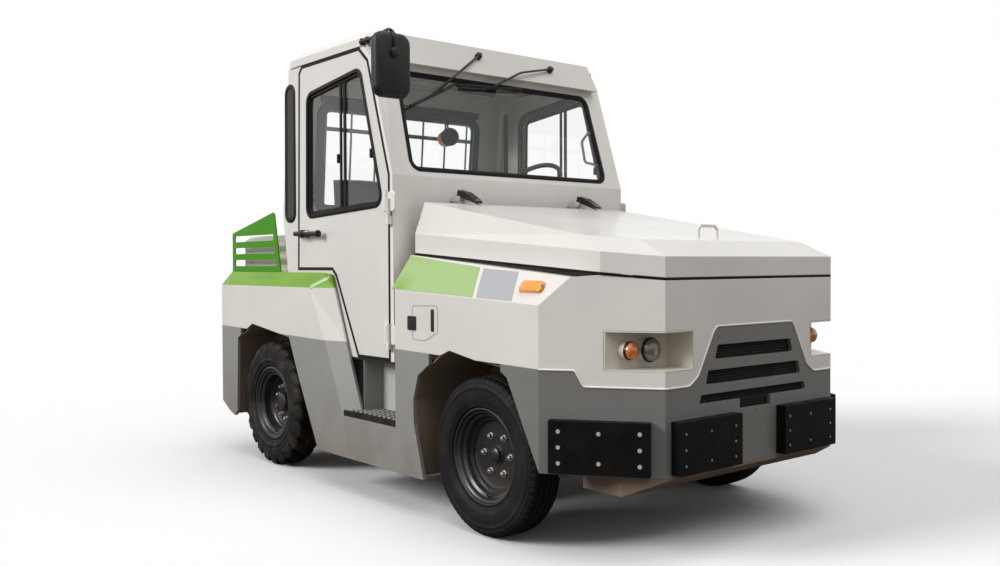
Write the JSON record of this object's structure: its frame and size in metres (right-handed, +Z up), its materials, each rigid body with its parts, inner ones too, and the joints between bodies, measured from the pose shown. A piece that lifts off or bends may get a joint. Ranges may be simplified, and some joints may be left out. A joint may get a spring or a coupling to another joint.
{
  "type": "airport baggage tug",
  "caption": "Electric tow tractor with enclosed cab, faceted hood, rubber nose pads, side steps, louvred rear deck and a rear tow hitch; steered front wheels, opening doors and hood.",
  "frame": {"origin": "on the floor, on the plane of symmetry of the body, half way between the nose pads and the end of the hitch", "axes": "+Z up, +Y towards the tail, +X towards the tractor's left side"},
  "size_m": [1.9983, 3.8384, 2.53],
  "materials": {
    "white_paint": "satin warm white",
    "cream_paint": "satin cream",
    "grey_paint": "satin warm grey",
    "green_paint": "gloss leaf green",
    "underside_paint": "matt dark brown",
    "black_paint": "satin black",
    "black_plastic": "matt black",
    "bumper_rubber": "matt black",
    "tyre_rubber": "matt black",
    "glass": "clear, slight green tint",
    "yellow_paint": "gloss yellow",
    "seat_vinyl": "dark grey vinyl",
    "steel": "plain steel"
  },
  "bodies": {
    "chassis": {"chassis_frame": "underside_paint", "cab_floor": "black_paint", "battery": "grey_paint", "nose_skirt": "grey_paint", "nose_pan": "underside_paint", "grille_mesh": "black_paint", "nose_pad_right": "bumper_rubber", "nose_pad_left": "bumper_rubber", "side_pad_right": "bumper_rubber", "side_pad_left": "bumper_rubber", "front_body": "white_paint", "lamp_bay_right": "cream_paint", "lamp_bay_left": "cream_paint", "hood_seal": "bumper_rubber", "cab_front": "white_paint", "windscreen": "glass", "cab_rear": "white_paint", "rear_window": "glass", "quarter_window_right": "glass", "quarter_window_left": "glass", "cab_roof": "white_paint", "side_skirt_right": "grey_paint", "side_skirt_left": "grey_paint", "step_right": "black_paint", "step_left": "black_paint", "rear_body": "white_paint", "tail_skirt": "grey_paint", "rear_wheelhouses": "underside_paint", "rear_deck": "cream_paint", "louver_right": "green_paint", "louver_left": "green_paint", "front_axle": "underside_paint", "rear_axle": "underside_paint", "mirror_right": "black_plastic", "wiper_right": "black_plastic", "wiper_left": "black_plastic", "grab_rail_right": "yellow_paint", "grab_rail_left": "yellow_paint", "window_guard": "black_paint", "seat_right": "seat_vinyl", "seat_left": "seat_vinyl", "dashboard": "black_plastic", "steering_wheel": "black_plastic", "tow_hitch": "black_paint", "hitch_pin": "steel"},
    "hood": {"hood": "white_paint"},
    "door_right": {"door_right": "white_paint", "door_window_right": "glass"},
    "door_left": {"door_left": "white_paint", "door_window_left": "glass"},
    "steered_knuckle_right": {"knuckle_right": "underside_paint"},
    "steered_knuckle_left": {"knuckle_left": "underside_paint"},
    "front_wheel_right": {"front_tyre_right": "tyre_rubber", "front_rim_right": "black_paint"},
    "front_wheel_left": {"front_tyre_left": "tyre_rubber", "front_rim_left": "black_paint"},
    "rear_wheel_right": {"rear_tyre_right": "tyre_rubber", "rear_rim_right": "black_paint"},
    "rear_wheel_left": {"rear_tyre_left": "tyre_rubber", "rear_rim_left": "black_paint"}
  },
  "joints": [
    {"name": "hood_hinge", "type": "hinge", "parent": "chassis", "child": "hood", "pos_m": [0, -0.297, 1.615], "axis": [-1, 0, 0], "range_deg": [0, 55]},
    {"name": "door_right_hinge", "type": "hinge", "parent": "chassis", "child": "door_right", "pos_m": [-0.876, -0.216, 0.763], "axis": [0, 0, 1], "range_deg": [0, 75]},
    {"name": "door_left_hinge", "type": "hinge", "parent": "chassis", "child": "door_left", "pos_m": [0.876, -0.216, 0.763], "axis": [0, 0, -1], "range_deg": [0, 75]},
    {"name": "steer_right", "type": "hinge", "parent": "chassis", "child": "steered_knuckle_right", "pos_m": [-0.6, -1.001, 0.371], "axis": [0, 0, 1], "range_deg": [-30, 30]},
    {"name": "steer_left", "type": "hinge", "parent": "chassis", "child": "steered_knuckle_left", "pos_m": [0.6, -1.001, 0.371], "axis": [0, 0, 1], "range_deg": [-30, 30]},
    {"name": "front_wheel_right_spin", "type": "hinge", "parent": "steered_knuckle_right", "child": "front_wheel_right", "pos_m": [-0.8925, -1.001, 0.371], "axis": [1, 0, 0], "continuous": true},
    {"name": "front_wheel_left_spin", "type": "hinge", "parent": "steered_knuckle_left", "child": "front_wheel_left", "pos_m": [0.8925, -1.001, 0.371], "axis": [1, 0, 0], "continuous": true},
    {"name": "rear_wheel_right_spin", "type": "hinge", "parent": "chassis", "child": "rear_wheel_right", "pos_m": [-0.881, 1.149, 0.3885], "axis": [1, 0, 0], "continuous": true},
    {"name": "rear_wheel_left_spin", "type": "hinge", "parent": "chassis", "child": "rear_wheel_left", "pos_m": [0.881, 1.149, 0.3885], "axis": [1, 0, 0], "continuous": true}
  ],
  "couplings": [
    {"joint": "steer_left", "follows": "steer_right", "ratio": 1}
  ]
}
